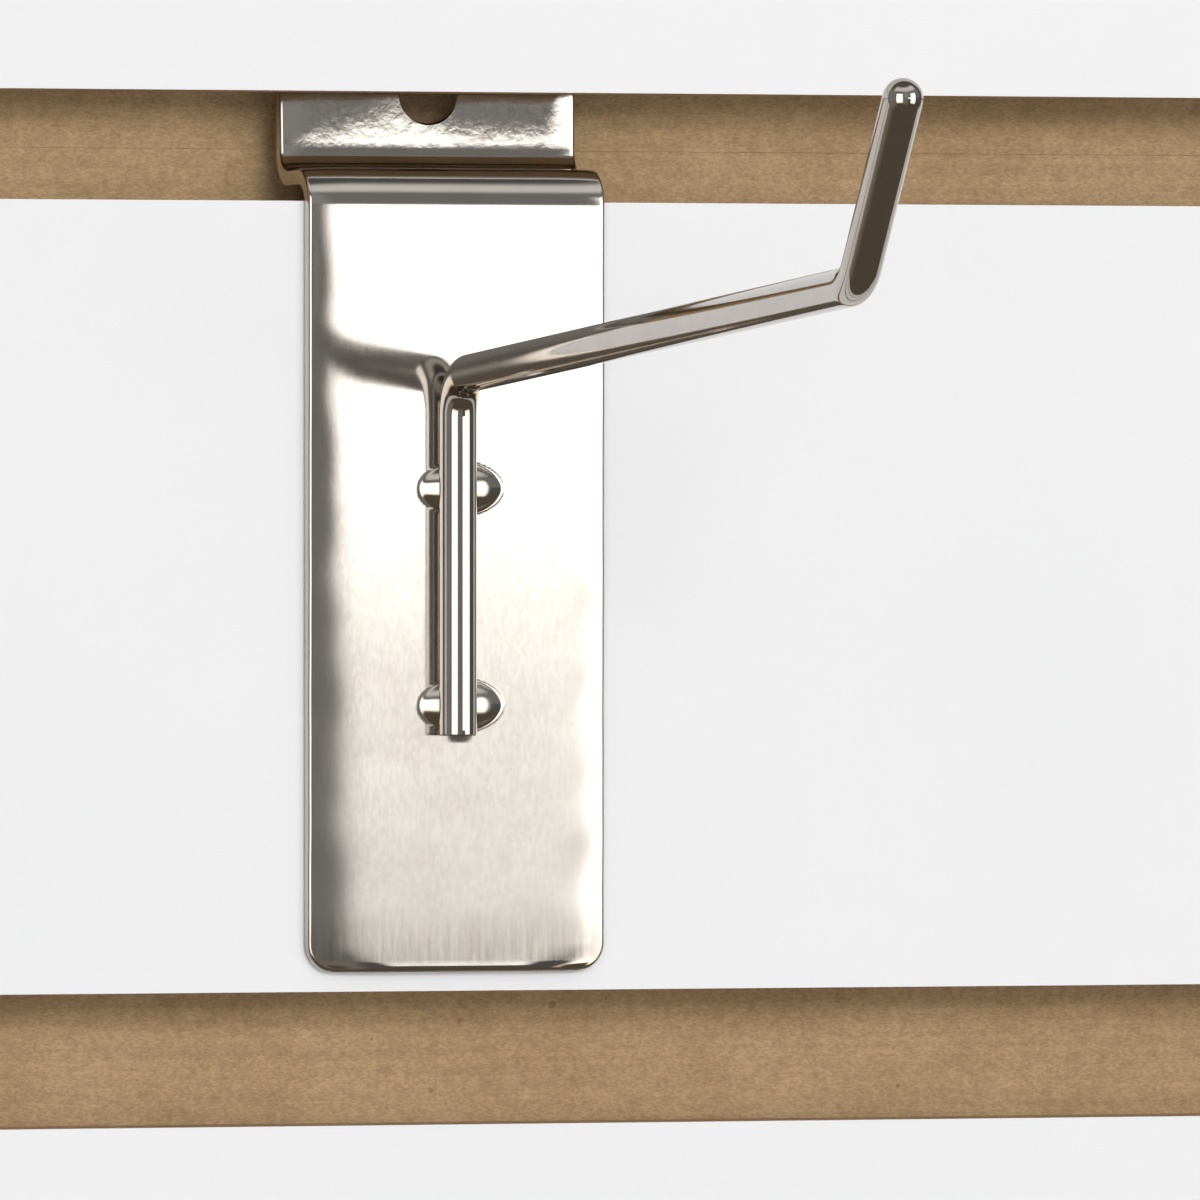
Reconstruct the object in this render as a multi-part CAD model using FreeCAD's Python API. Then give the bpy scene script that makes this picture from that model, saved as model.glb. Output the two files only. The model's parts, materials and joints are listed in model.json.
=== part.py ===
"""Slatwall panel: two stacked T-slot boards and one single-peg hook, all in mm.

Frame: +Z up, the front faces -Y, the back lies on y = 0, X runs along the
grooves.  The origin is the centre of the back, on the seam of the two boards.
"""
import FreeCAD, Part

import math
import os

from FreeCAD import Vector

# ---------------------------------------------------------------- the boards
panel_width = 609.6          # X, 24 in
board_height = 304.8         # Z of one board, 12 in
board_count = 2
panel_depth = 19.05          # Y, 3/4 in
face_sheet = 0.8             # white laminate on the slats
back_sheet = 0.5             # balancing sheet on the back
groove_pitch = 76.2          # 3 in from groove to groove
grooves_per_board = 3        # whole grooves, set about the middle of the board
groove_opening = 11.2        # between two lips
seam_opening = 9.2           # the same where two boards meet
lip_depth = 6.35             # Y of a lip, with the laminate
cavity_depth = 6.35          # Y of the space behind the lips
undercut = 6.35              # how far that space reaches behind each lip
lap_height = 3.2             # shiplap between two boards
lap_share_depth = 3.0        # Y of the front half of the lap
seam_gap = 0.02              # air between two stacked boards

# ----------------------------------------------------- screw holes in the web
stud_spacing = 406.4         # X, 16 in
screw_rows = (0, 2)          # grooves of each board that are screwed, the lowest is 0
screw_hole = 4.8
screw_sink = 9.5             # countersink at the groove floor
screw_sink_depth = 2.4

# ------------------------------------------------------- plate of the hook
sheet = 1.5                  # steel, 16 gauge
plate_width = 26.0
plate_drop = 64.4            # from the lip's top edge to the plate's bottom
bend_inside = 1.65           # inner radius of both bends
plate_gap = 0.15             # plate to laminate
bend_drop = 0.3              # the lower bend starts this far under the lip's top edge
tongue_gap = 0.35            # tongue to the back of the upper lip
tongue_rise = 14.0           # from the lower lip's top edge to the tongue's top
plate_corner = 2.4
tongue_corner = 1.5
plate_edge_round = 0.4
hang_hole = 5.0
hang_hole_rise = 9.2         # above the lower lip's top edge

# ------------------------------------------------- welding bosses on the plate
boss_height = 1.1
boss_width = 7.2             # X, along the plate's front
boss_offset = 0.2            # X from the plate's centre
boss_drops = (24.0, 42.1)    # under the lip's top edge

# --------------------------------------------------------------- the peg
wire = 3.175                 # 1/8 in
wire_stand_off = 0.35        # leg to plate, between the bosses
peg_offset = -0.6            # X of the peg from the plate's centre
leg_end_drop = 44.6
leg_bend_drop = 14.6         # where the leg's line meets the arm's line
arm_length = 105.0           # from that corner to the tip's corner
arm_rise = 3.35              # degrees above level
tip_rise = 52.0              # degrees above level
tip_length = 18.0            # from the tip's corner to the centre of its round end
leg_bend_radius = 3.6
tip_bend_radius = 4.2

# ------------------------------------------------------------ worked out
face_front = -panel_depth
core_front = face_front + face_sheet
lip_back = face_front + lip_depth
web_front = lip_back + cavity_depth
lap_plane = web_front + lap_share_depth
core_back = -back_sheet
far = 50.0                   # how far a cutting tool reaches past what it cuts

lip_top = -seam_opening / 2.0
plate_back = face_front - plate_gap
plate_front = plate_back - sheet
tongue_front = lip_back + tongue_gap
tongue_back = tongue_front + sheet
bend_outside = bend_inside + sheet
bend_start = lip_top - bend_drop
ledge_bottom = bend_start + bend_inside
ledge_top = bend_start + bend_outside
tongue_start = ledge_top + bend_inside
tongue_top = lip_top + tongue_rise
plate_bottom = lip_top - plate_drop

boss_bow = (boss_width ** 2 / 4.0 + boss_height ** 2) / (2.0 * boss_height)
boss_bow_depth = boss_bow - boss_height - sheet

wire_radius = wire / 2.0
leg_y = plate_front - wire_stand_off - wire_radius


def slab(x0, x1, y0, y1, z0, z1):
    return Part.makeBox(x1 - x0, y1 - y0, z1 - z0, Vector(x0, y0, z0))


def extrude_along_x(outline, width):
    """A closed wire in the plane x = -width / 2, made a solid of that width."""
    return Part.Face(outline).extrude(Vector(width, 0, 0))


def save(shape, node):
    solids = shape.Solids
    if not shape.isValid() or not solids:
        raise ValueError(node + " isn't a sound solid")
    Part.makeCompound(solids).exportStep("parts/" + node + ".step")


# ------------------------------------------------------------------ boards
def board_bottom(index):
    """Z of the bottom of a board, counted from the lowest."""
    return (index - board_count / 2.0) * board_height


def groove_centres(bottom):
    """Z of the middle of each whole groove of a board."""
    lowest = bottom + (board_height - (grooves_per_board - 1) * groove_pitch) / 2.0
    return [lowest + k * groove_pitch for k in range(grooves_per_board)]


def slats(bottom):
    """Lowest and highest z of each slat of a board."""
    edges = [bottom + seam_opening / 2.0]
    for centre in groove_centres(bottom):
        edges += [centre - groove_opening / 2.0, centre + groove_opening / 2.0]
    edges.append(bottom + board_height - seam_opening / 2.0)
    return list(zip(edges[0::2], edges[1::2]))


def board_outline(bottom):
    """Section of a core: the slats up the front, the shiplap at both ends."""
    top = bottom + board_height
    points = [(lap_plane, bottom), (web_front, bottom)]
    for low, high in slats(bottom):
        points += [(web_front, low + undercut), (lip_back, low + undercut), (lip_back, low)]
        points += [(core_front, low), (core_front, high), (lip_back, high)]
        points += [(lip_back, high - undercut), (web_front, high - undercut)]
    points += [(web_front, top - seam_gap), (lap_plane, top - seam_gap)]
    points += [(lap_plane, top + lap_height - seam_gap), (core_back, top + lap_height - seam_gap)]
    points += [(core_back, bottom + lap_height), (lap_plane, bottom + lap_height)]
    corners = [Vector(-panel_width / 2.0, y, z) for y, z in points]
    return Part.makePolygon(corners + corners[:1])


def screw_cutters(bottom):
    """A through hole and its countersink for every screw of a board."""
    cutters = []
    centres = groove_centres(bottom)
    for row in screw_rows:
        z = centres[row]
        for x in (-stud_spacing / 2.0, stud_spacing / 2.0):
            inward = Vector(0, 1, 0)
            start = Vector(x, web_front, z)
            cutters.append(Part.makeCylinder(screw_hole / 2.0, -web_front + far, start, inward))
            cutters.append(Part.makeCone(screw_sink / 2.0, screw_hole / 2.0, screw_sink_depth, start, inward))
    return cutters


def board_core(bottom):
    return extrude_along_x(board_outline(bottom), panel_width).cut(screw_cutters(bottom))


def board_back(bottom):
    half = panel_width / 2.0
    low = bottom + lap_height
    sheet_solid = slab(-half, half, core_back, 0.0, low, low + board_height - seam_gap)
    return sheet_solid.cut(screw_cutters(bottom))


def face_strip(low, high):
    half = panel_width / 2.0
    return slab(-half, half, face_front, core_front, low, high)


# -------------------------------------------------------------- hook plate
def quarter(y, z, radius, start):
    """A quarter turn about (y, z), from start degrees on, where 0 points to +Y."""
    points = []
    for turn in (0, 45, 90):
        angle = math.radians(start + turn)
        points.append(Vector(-plate_width / 2.0, y + radius * math.cos(angle), z + radius * math.sin(angle)))
    return Part.Arc(*points).toShape()


def plate_outline():
    """Section of the bent sheet: plate, ledge over the lip, tongue behind the upper lip."""
    x = -plate_width / 2.0
    low_y = plate_back + bend_inside
    high_y = tongue_front - bend_inside

    def line(y0, z0, y1, z1):
        return Part.makeLine(Vector(x, y0, z0), Vector(x, y1, z1))

    edges = [
        line(plate_back, plate_bottom, plate_back, bend_start),
        quarter(low_y, bend_start, bend_inside, 90),
        line(low_y, ledge_bottom, high_y, ledge_bottom),
        quarter(high_y, tongue_start, bend_outside, 270),
        line(tongue_back, tongue_start, tongue_back, tongue_top),
        line(tongue_back, tongue_top, tongue_front, tongue_top),
        line(tongue_front, tongue_top, tongue_front, tongue_start),
        quarter(high_y, tongue_start, bend_inside, 270),
        line(high_y, ledge_top, low_y, ledge_top),
        quarter(low_y, bend_start, bend_outside, 90),
        line(plate_front, bend_start, plate_front, plate_bottom),
        line(plate_front, plate_bottom, plate_back, plate_bottom),
    ]
    return Part.Wire(Part.__sortEdges__(edges))


def edges_where(shape, test):
    """The straight edges whose two ends pass the test."""
    found = []
    for edge in shape.Edges:
        ends = [vertex.Point for vertex in edge.Vertexes]
        if len(ends) == 2 and isinstance(edge.Curve, Part.Line) and test(ends[0], ends[1]):
            found.append(edge)
    return found


def round_plate(plate):
    """Rounds the four corners of the sheet, then the front edge of the plate."""
    def at_bottom(a, b):
        return abs(a.z - plate_bottom) < 0.01 and abs(b.z - plate_bottom) < 0.01 and abs(a.y - b.y) > 0.5 * sheet

    def at_top(a, b):
        return abs(a.z - tongue_top) < 0.01 and abs(b.z - tongue_top) < 0.01 and abs(a.y - b.y) > 0.5 * sheet

    def on_front(a, b):
        return abs(a.y - plate_front) < 0.01 and abs(b.y - plate_front) < 0.01

    plate = plate.makeFillet(plate_corner, edges_where(plate, at_bottom))
    plate = plate.makeFillet(tongue_corner, edges_where(plate, at_top))
    return plate.makeFillet(plate_edge_round, edges_where(plate, on_front))


def lens(bow, drop):
    """A pointed oval solid lying along X: an arc of radius bow, turned about a line in the plate's back."""
    z = lip_top - drop
    half_length = math.sqrt(bow ** 2 - boss_bow_depth ** 2)
    left = Vector(boss_offset - half_length, plate_back, z)
    crest = Vector(boss_offset, plate_back, z + bow - boss_bow_depth)
    right = Vector(boss_offset + half_length, plate_back, z)
    profile = Part.Wire([Part.Arc(left, crest, right).toShape(), Part.makeLine(right, left)])
    return Part.Face(profile).revolve(left, Vector(1, 0, 0), 360)


def hook_plate(peg):
    """The bent sheet with its hole and pressed bosses, hollowed where the peg is welded."""
    plate = round_plate(extrude_along_x(plate_outline(), plate_width))
    half = plate_width / 2.0
    behind = slab(-half, half, plate_back, plate_back + boss_bow, plate_bottom, lip_top - leg_bend_drop)
    for drop in boss_drops:
        plate = plate.fuse(lens(boss_bow, drop).cut(behind))
        plate = plate.cut(lens(boss_bow - sheet, drop))
    hole_start = Vector(0, tongue_front - far / 2.0, lip_top + hang_hole_rise)
    plate = plate.cut(Part.makeCylinder(hang_hole / 2.0, far, hole_start, Vector(0, 1, 0)))
    return plate.cut(peg).removeSplitter()


# --------------------------------------------------------------- hook peg
def slope(degrees):
    """The direction out of the wall that rises by so many degrees."""
    angle = math.radians(degrees)
    return Vector(0, -math.cos(angle), math.sin(angle))


def bend(corner, before, after, radius):
    """The arc that rounds a corner between two directions, as its two ends and its middle."""
    half_turn = before.getAngle(after) / 2.0
    reach = radius * math.tan(half_turn)
    start = corner - before * reach
    end = corner + after * reach
    inward = (after - before).normalize()
    middle = corner + inward * (radius / math.cos(half_turn) - radius)
    return start, middle, end


def hook_peg():
    """The wire: a leg on the plate, an arm out of the wall and an upturned tip."""
    up = Vector(0, 0, 1)
    arm = slope(arm_rise)
    tip = slope(tip_rise)
    leg_end = Vector(peg_offset, leg_y, lip_top - leg_end_drop)
    leg_corner = Vector(peg_offset, leg_y, lip_top - leg_bend_drop)
    tip_corner = leg_corner + arm * arm_length
    tip_end = tip_corner + tip * tip_length
    first = bend(leg_corner, up, arm, leg_bend_radius)
    second = bend(tip_corner, arm, tip, tip_bend_radius)
    path = Part.Wire([
        Part.makeLine(leg_end, first[0]),
        Part.Arc(*first).toShape(),
        Part.makeLine(first[2], second[0]),
        Part.Arc(*second).toShape(),
        Part.makeLine(second[2], tip_end),
    ])
    section = Part.Face(Part.Wire(Part.makeCircle(wire_radius, leg_end, up)))
    return path.makePipe(section).fuse(Part.makeSphere(wire_radius, tip_end)).removeSplitter()


def main():
    os.makedirs("parts", exist_ok=True)
    strip = 1
    for index, name in ((1, "upper"), (0, "lower")):
        bottom = board_bottom(index)
        save(board_core(bottom), name + "_board_core")
        save(board_back(bottom), name + "_back_sheet")
        for low, high in reversed(slats(bottom)):
            save(face_strip(low, high), "face_strip_%d" % strip)
            strip += 1
    peg = hook_peg()
    save(peg, "hook_peg")
    save(hook_plate(peg), "hook_plate")


main()
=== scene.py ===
"""Looks of a slatwall panel with one chrome peg hook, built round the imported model.

Sizes are in millimetres where a name ends in _MM and in metres elsewhere.
"""

import json
import math

import bmesh
import bpy
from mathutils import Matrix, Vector


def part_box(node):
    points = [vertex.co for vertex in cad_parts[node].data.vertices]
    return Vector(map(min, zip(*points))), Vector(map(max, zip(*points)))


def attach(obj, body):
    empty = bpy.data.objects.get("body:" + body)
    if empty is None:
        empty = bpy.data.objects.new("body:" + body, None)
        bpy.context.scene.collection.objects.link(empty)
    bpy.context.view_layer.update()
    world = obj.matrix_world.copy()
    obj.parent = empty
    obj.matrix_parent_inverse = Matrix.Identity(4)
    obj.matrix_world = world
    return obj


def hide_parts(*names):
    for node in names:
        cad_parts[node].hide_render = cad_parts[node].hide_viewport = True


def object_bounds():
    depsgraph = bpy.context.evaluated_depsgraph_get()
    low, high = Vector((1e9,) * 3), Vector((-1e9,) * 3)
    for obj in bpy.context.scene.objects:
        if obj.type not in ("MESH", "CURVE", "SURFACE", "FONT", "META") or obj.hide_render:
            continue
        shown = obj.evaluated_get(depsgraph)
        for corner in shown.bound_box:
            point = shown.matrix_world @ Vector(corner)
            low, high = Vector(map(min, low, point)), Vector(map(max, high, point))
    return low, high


MM = 0.001

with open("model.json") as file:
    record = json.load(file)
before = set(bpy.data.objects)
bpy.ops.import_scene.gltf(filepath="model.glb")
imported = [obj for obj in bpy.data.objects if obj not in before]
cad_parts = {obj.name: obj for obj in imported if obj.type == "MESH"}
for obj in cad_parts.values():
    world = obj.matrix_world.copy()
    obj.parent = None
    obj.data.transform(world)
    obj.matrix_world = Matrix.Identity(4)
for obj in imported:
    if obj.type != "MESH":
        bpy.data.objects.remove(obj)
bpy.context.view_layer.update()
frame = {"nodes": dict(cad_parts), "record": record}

# ------------------------------------------------------- sizes of the hook
SHEET_MM = 1.5
BEND_INSIDE_MM = 1.65
BEND_DROP_MM = 0.3               # the lower bend starts this far under the lip's top edge
PLATE_GAP_MM = 0.15              # plate to laminate
PLATE_CORNER_MM = 2.4
PLATE_EDGE_MM = 0.4              # rounding of the sheet's front edges
BACK_EDGE_MM = 0.15              # and of its back edges
HANG_HOLE_MM = 5.0
HANG_HOLE_DROP_MM = 4.8          # under the tongue's top
HOLE_EDGE_MM = 0.18              # flare of the hole's front edge
BOSS_HEIGHT_MM = 1.1
BOSS_WIDTH_MM = 7.2
BOSS_OFFSET_MM = 0.2
BOSS_DROPS_MM = (24.0, 42.1)     # under the lip's top edge
BOSS_FOOT_MM = 0.06              # softness of the foot of a boss
LEG_BEND_DROP_MM = 14.6          # under the lip's top edge
ARM_LENGTH_MM = 105.0
ARM_RISE = 3.35                  # degrees
TIP_RISE = 52.0                  # degrees
TIP_LENGTH_MM = 18.0
LEG_BEND_MM = 3.6                # bend radii at the wire's middle
TIP_BEND_MM = 4.2
FOOT_BREAK_MM = 0.14             # rounding of the sheared end of the leg
LIP_DEPTH_MM = 6.35

# how finely the hook's surfaces and its wire are divided
FLAT_STEP_MM = 1.0
FINE_STEP_MM = 0.2               # on the bosses and the lower bend
CORNER_STEP_MM = 0.15
INNER_BEND_STEP_MM = 0.12
TONGUE_STEP_MM = 0.5
PLATE_COLUMNS = 112
RIM_STEPS = 6
HOLE_SIDES = 96
HOLE_TURN = 0.37                 # of one side, so that no corner of the hole meets the sheet's middle line
WIRE_SIDES = 72
WIRE_STEP_MM = 0.4
WIRE_FINE_STEP_MM = 0.035        # at the wire's round tip and broken foot
BEND_SEGMENTS = 30

PLATE_LOW, PLATE_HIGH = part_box("hook_plate")
PEG_LOW, PEG_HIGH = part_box("hook_peg")
SLAT_LOW, SLAT_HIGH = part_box("face_strip_5")
LIP_TOP = SLAT_HIGH.z
WALL_FACE = SLAT_LOW.y
PLATE_X = 0.5 * (PLATE_LOW.x + PLATE_HIGH.x)
PEG_X = 0.5 * (PEG_LOW.x + PEG_HIGH.x)


# ------------------------------------------------------------- mesh helpers
def new_object(name, mesh):
    """An object with the mesh, put in the scene at the origin."""
    piece = bpy.data.objects.new(name, mesh)
    bpy.context.scene.collection.objects.link(piece)
    return piece


def mesh_from(bm, name):
    """Turns a bmesh into a mesh whose faces point outwards."""
    mesh = bpy.data.meshes.new(name)
    bmesh.ops.recalc_face_normals(bm, faces=bm.faces)
    bm.to_mesh(mesh)
    bm.free()
    return mesh


def smooth_with(mesh, material, crease=35.0):
    """One material all over, smooth but for edges sharper than the crease angle."""
    mesh.materials.clear()
    mesh.materials.append(material)
    for face in mesh.polygons:
        face.use_smooth = True
        face.material_index = 0
    mesh.set_sharp_from_angle(angle=math.radians(crease))


def declare(piece, body, replaced=()):
    """Parents a piece to the empty of the body it rides on and hides the CAD nodes it stands for."""
    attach(piece, body)
    if replaced:
        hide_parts(*replaced)


# --------------------------------------------------------------- node helpers
def new_group(name, inputs, outputs):
    """A shader node group with named inputs, as {name: (type, default)}, and named outputs."""
    tree = bpy.data.node_groups.new(name, "ShaderNodeTree")
    for label, (kind, default) in inputs.items():
        socket = tree.interface.new_socket(name=label, in_out="INPUT", socket_type=kind)
        if default is not None:
            socket.default_value = default
    for label, kind in outputs.items():
        tree.interface.new_socket(name=label, in_out="OUTPUT", socket_type=kind)
    return tree, tree.nodes.new("NodeGroupInput"), tree.nodes.new("NodeGroupOutput")


def add(tree, kind, settings=None, **inputs):
    """A node with its settings and its input values or links."""
    node = tree.nodes.new(kind)
    for key, value in (settings or {}).items():
        setattr(node, key, value)
    for key, value in inputs.items():
        socket = node.inputs[key.replace("_", " ")]
        if isinstance(value, bpy.types.NodeSocket):
            tree.links.new(value, socket)
        else:
            socket.default_value = value
    return node


def calc(tree, operation, *values):
    """A Math node; each value is a number or a socket."""
    node = tree.nodes.new("ShaderNodeMath")
    node.operation = operation
    for index, value in enumerate(values):
        if isinstance(value, bpy.types.NodeSocket):
            tree.links.new(value, node.inputs[index])
        else:
            node.inputs[index].default_value = value
    return node.outputs[0]


def ramp(tree, value, low, high, to_low=0.0, to_high=1.0):
    """A smooth step from to_low to to_high while value goes from low to high."""
    node = add(tree, "ShaderNodeMapRange", {"interpolation_type": "SMOOTHSTEP"})
    tree.links.new(value, node.inputs["Value"])
    for label, number in (("From Min", low), ("From Max", high), ("To Min", to_low), ("To Max", to_high)):
        node.inputs[label].default_value = number
    return node.outputs["Result"]


def mix_colour(tree, factor, first, second):
    """A blend of two colours, all first at a factor of 0 and all second at 1."""
    node = tree.nodes.new("ShaderNodeMix")
    node.data_type = "RGBA"
    for socket, value in ((node.inputs[0], factor), (node.inputs[6], first), (node.inputs[7], second)):
        if isinstance(value, bpy.types.NodeSocket):
            tree.links.new(value, socket)
        else:
            socket.default_value = value
    return node.outputs[2]


def new_geometry_tree(name, inputs):
    """A Geometry Nodes tree with named inputs, as {name: socket type}, besides its geometry."""
    tree = bpy.data.node_groups.new(name, "GeometryNodeTree")
    tree.interface.new_socket(name="Geometry", in_out="INPUT", socket_type="NodeSocketGeometry")
    for label, kind in inputs.items():
        tree.interface.new_socket(name=label, in_out="INPUT", socket_type=kind)
    tree.interface.new_socket(name="Geometry", in_out="OUTPUT", socket_type="NodeSocketGeometry")
    return tree, tree.nodes.new("NodeGroupInput"), tree.nodes.new("NodeGroupOutput")


def end_geometry_tree(tree, start, end, geometry):
    """Realizes the instances, gives the material and closes the tree."""
    real = add(tree, "GeometryNodeRealizeInstances", Geometry=geometry)
    painted = add(tree, "GeometryNodeSetMaterial", Geometry=real.outputs[0],
                  Material=start.outputs["Material"])
    tree.links.new(painted.outputs[0], end.inputs["Geometry"])


def grown(name, source, tree, sizes):
    """The plain mesh that a Geometry Nodes tree makes of a source mesh, with its inputs set."""
    holder = new_object(name + "_source", source)
    modifier = holder.modifiers.new("grow", "NODES")
    modifier.node_group = tree
    for item in tree.interface.items_tree:
        if item.in_out == "INPUT" and item.name in sizes:
            modifier[item.identifier] = sizes[item.name]
    graph = bpy.context.evaluated_depsgraph_get()
    mesh = bpy.data.meshes.new_from_object(holder.evaluated_get(graph))
    bpy.data.objects.remove(holder)
    mesh.name = name
    return mesh


def new_material(name, slot_colour, **surface):
    """A material with one Principled shader; the viewport colour is plain."""
    material = bpy.data.materials.new(name)
    material.use_nodes = True
    material.diffuse_color = (*slot_colour, 1.0)
    shader = material.node_tree.nodes["Principled BSDF"]
    for label, value in surface.items():
        shader.inputs[label.replace("_", " ")].default_value = value
    return material, material.node_tree, shader


def towards(azimuth, height):
    """The direction at so many degrees round from the panel's front and above level."""
    turn = math.radians(azimuth)
    tilt = math.radians(height)
    return Vector((math.sin(turn) * math.cos(tilt), -math.cos(turn) * math.cos(tilt), math.sin(tilt)))


def millimetres(tree):
    """Object coordinates in millimetres."""
    place = tree.nodes.new("ShaderNodeTexCoord")
    scale = add(tree, "ShaderNodeMapping", Vector=place.outputs["Object"])
    scale.inputs["Scale"].default_value = (1.0 / MM, 1.0 / MM, 1.0 / MM)
    return scale.outputs["Vector"]


def grain_group():
    """Fine parallel scratches or cutter marks: noise drawn out along one axis."""
    tree, start, end = new_group(
        "drawn_grain",
        {"Vector": ("NodeSocketVector", None), "Stretch": ("NodeSocketVector", (1.0, 1.0, 1.0)),
         "Scale": ("NodeSocketFloat", 1.0)},
        {"Height": "NodeSocketFloat"})
    stretched = tree.nodes.new("ShaderNodeVectorMath")
    stretched.operation = "MULTIPLY"
    tree.links.new(start.outputs["Vector"], stretched.inputs[0])
    tree.links.new(start.outputs["Stretch"], stretched.inputs[1])
    noise = add(tree, "ShaderNodeTexNoise", Vector=stretched.outputs[0], Scale=start.outputs["Scale"],
                Detail=4.0, Roughness=0.6)
    tree.links.new(noise.outputs["Fac"], end.inputs["Height"])
    return tree


def fleck_group():
    """Sparse small spots of uneven size."""
    tree, start, end = new_group(
        "flecks",
        {"Vector": ("NodeSocketVector", None), "Spacing": ("NodeSocketFloat", 1.0),
         "Size": ("NodeSocketFloat", 0.1)},
        {"Mask": "NodeSocketFloat"})
    scale = calc(tree, "DIVIDE", 1.0, start.outputs["Spacing"])
    wobble = add(tree, "ShaderNodeTexNoise", Vector=start.outputs["Vector"], Scale=2.5, Detail=2.0)
    shifted = add(tree, "ShaderNodeVectorMath", {"operation": "MULTIPLY_ADD"})
    tree.links.new(wobble.outputs["Color"], shifted.inputs[0])
    shifted.inputs[1].default_value = (0.35, 0.35, 0.35)
    tree.links.new(start.outputs["Vector"], shifted.inputs[2])
    cells = add(tree, "ShaderNodeTexVoronoi", Vector=shifted.outputs[0], Scale=scale)
    chance = add(tree, "ShaderNodeSeparateColor", Color=cells.outputs["Color"])
    reach = calc(tree, "MULTIPLY", start.outputs["Size"], calc(tree, "POWER", chance.outputs["Red"], 3.0))
    inside = calc(tree, "SUBTRACT", reach, cells.outputs["Distance"])
    mask = ramp(tree, inside, 0.0, 0.03)
    tree.links.new(mask, end.inputs["Mask"])
    return tree


def mottle_group():
    """Soft cloudy change between two colours."""
    tree, start, end = new_group(
        "mottle",
        {"Vector": ("NodeSocketVector", None), "Scale": ("NodeSocketFloat", 1.0),
         "First": ("NodeSocketColor", (0.5, 0.5, 0.5, 1.0)),
         "Second": ("NodeSocketColor", (0.5, 0.5, 0.5, 1.0))},
        {"Colour": "NodeSocketColor"})
    noise = add(tree, "ShaderNodeTexNoise", Vector=start.outputs["Vector"], Scale=start.outputs["Scale"],
                Detail=5.0, Roughness=0.6)
    blend = ramp(tree, noise.outputs["Fac"], 0.32, 0.68)
    colour = mix_colour(tree, blend, start.outputs["First"], start.outputs["Second"])
    tree.links.new(colour, end.inputs["Colour"])
    return tree


GRAIN = grain_group()
FLECKS = fleck_group()
MOTTLE = mottle_group()


def use(tree, group, **inputs):
    """Places a node group with its inputs and gives its first output."""
    return add(tree, "ShaderNodeGroup", {"node_tree": group}, **inputs).outputs[0]


def bumped(tree, shader, height, distance, before=None):
    """Adds relief of the given height, on top of the relief before it."""
    bump = add(tree, "ShaderNodeBump", Height=height, Distance=distance, Strength=1.0)
    if before is not None:
        tree.links.new(before, bump.inputs["Normal"])
    tree.links.new(bump.outputs["Normal"], shader.inputs["Normal"])
    return bump.outputs["Normal"]


# ---------------------------------------------------------------- materials
def laminate_material():
    """White melamine: an even white with a very fine pebble."""
    material, tree, shader = new_material("white_melamine", (0.86, 0.86, 0.87), Roughness=0.42)
    shader.inputs["Specular IOR Level"].default_value = 0.30
    place = millimetres(tree)
    colour = use(tree, MOTTLE, Vector=place, Scale=0.035, First=(0.826, 0.828, 0.836, 1.0),
                 Second=(0.842, 0.838, 0.848, 1.0))
    tree.links.new(colour, shader.inputs["Base Color"])
    pebble = add(tree, "ShaderNodeTexNoise", Vector=place, Scale=3.2, Detail=2.0)
    bumped(tree, shader, pebble.outputs["Fac"], 0.003 * MM)
    return material


def fibreboard_material():
    """Raw machined MDF: matted brown fibres, cutter marks along the groove, a few dark flecks."""
    material, tree, shader = new_material("raw_fibreboard", (0.5, 0.36, 0.22), Roughness=0.88)
    shader.inputs["Specular IOR Level"].default_value = 0.2
    place = millimetres(tree)
    base = use(tree, MOTTLE, Vector=place, Scale=0.10, First=(0.485, 0.330, 0.180, 1.0),
               Second=(0.540, 0.375, 0.212, 1.0))
    clumps = use(tree, MOTTLE, Vector=place, Scale=0.9, First=(0.93, 0.93, 0.93, 1.0),
                 Second=(1.06, 1.06, 1.06, 1.0))
    fibres = use(tree, GRAIN, Vector=place, Stretch=(0.6, 1.4, 1.4), Scale=4.2)
    fibre_light = ramp(tree, fibres, 0.30, 0.70, 0.84, 1.14)
    marks = use(tree, GRAIN, Vector=place, Stretch=(0.02, 1.0, 1.0), Scale=1.3)
    mark_light = ramp(tree, marks, 0.35, 0.65, 0.95, 1.04)
    light = calc(tree, "MULTIPLY", fibre_light, mark_light)
    clumped = add(tree, "ShaderNodeVectorMath", {"operation": "MULTIPLY"})
    tree.links.new(base, clumped.inputs[0])
    tree.links.new(clumps, clumped.inputs[1])
    shaded = add(tree, "ShaderNodeVectorMath", {"operation": "SCALE"})
    tree.links.new(clumped.outputs[0], shaded.inputs[0])
    tree.links.new(light, shaded.inputs["Scale"])
    dark = use(tree, FLECKS, Vector=place, Spacing=2.6, Size=0.15)
    with_dark = mix_colour(tree, calc(tree, "MULTIPLY", dark, 0.5), shaded.outputs[0],
                           (0.24, 0.12, 0.05, 1.0))
    pale = use(tree, FLECKS, Vector=place, Spacing=1.3, Size=0.13)
    with_pale = mix_colour(tree, calc(tree, "MULTIPLY", pale, 0.25), with_dark, (0.76, 0.60, 0.40, 1.0))
    tree.links.new(with_pale, shader.inputs["Base Color"])
    first = bumped(tree, shader, fibres, 0.04 * MM)
    bumped(tree, shader, marks, 0.04 * MM, first)
    return material


def backer_material():
    """The balancing sheet: buff paper, slightly clouded, faint press marks."""
    material, tree, shader = new_material("balancing_sheet", (0.60, 0.53, 0.44), Roughness=0.62)
    place = millimetres(tree)
    base = use(tree, MOTTLE, Vector=place, Scale=0.02, First=(0.56, 0.49, 0.40, 1.0),
               Second=(0.63, 0.56, 0.465, 1.0))
    specks = use(tree, FLECKS, Vector=place, Spacing=5.0, Size=0.10)
    colour = mix_colour(tree, calc(tree, "MULTIPLY", specks, 0.4), base, (0.33, 0.27, 0.20, 1.0))
    tree.links.new(colour, shader.inputs["Base Color"])
    press = use(tree, GRAIN, Vector=place, Stretch=(0.1, 1.0, 0.6), Scale=0.4)
    bumped(tree, shader, press, 0.08 * MM)
    return material


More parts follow.
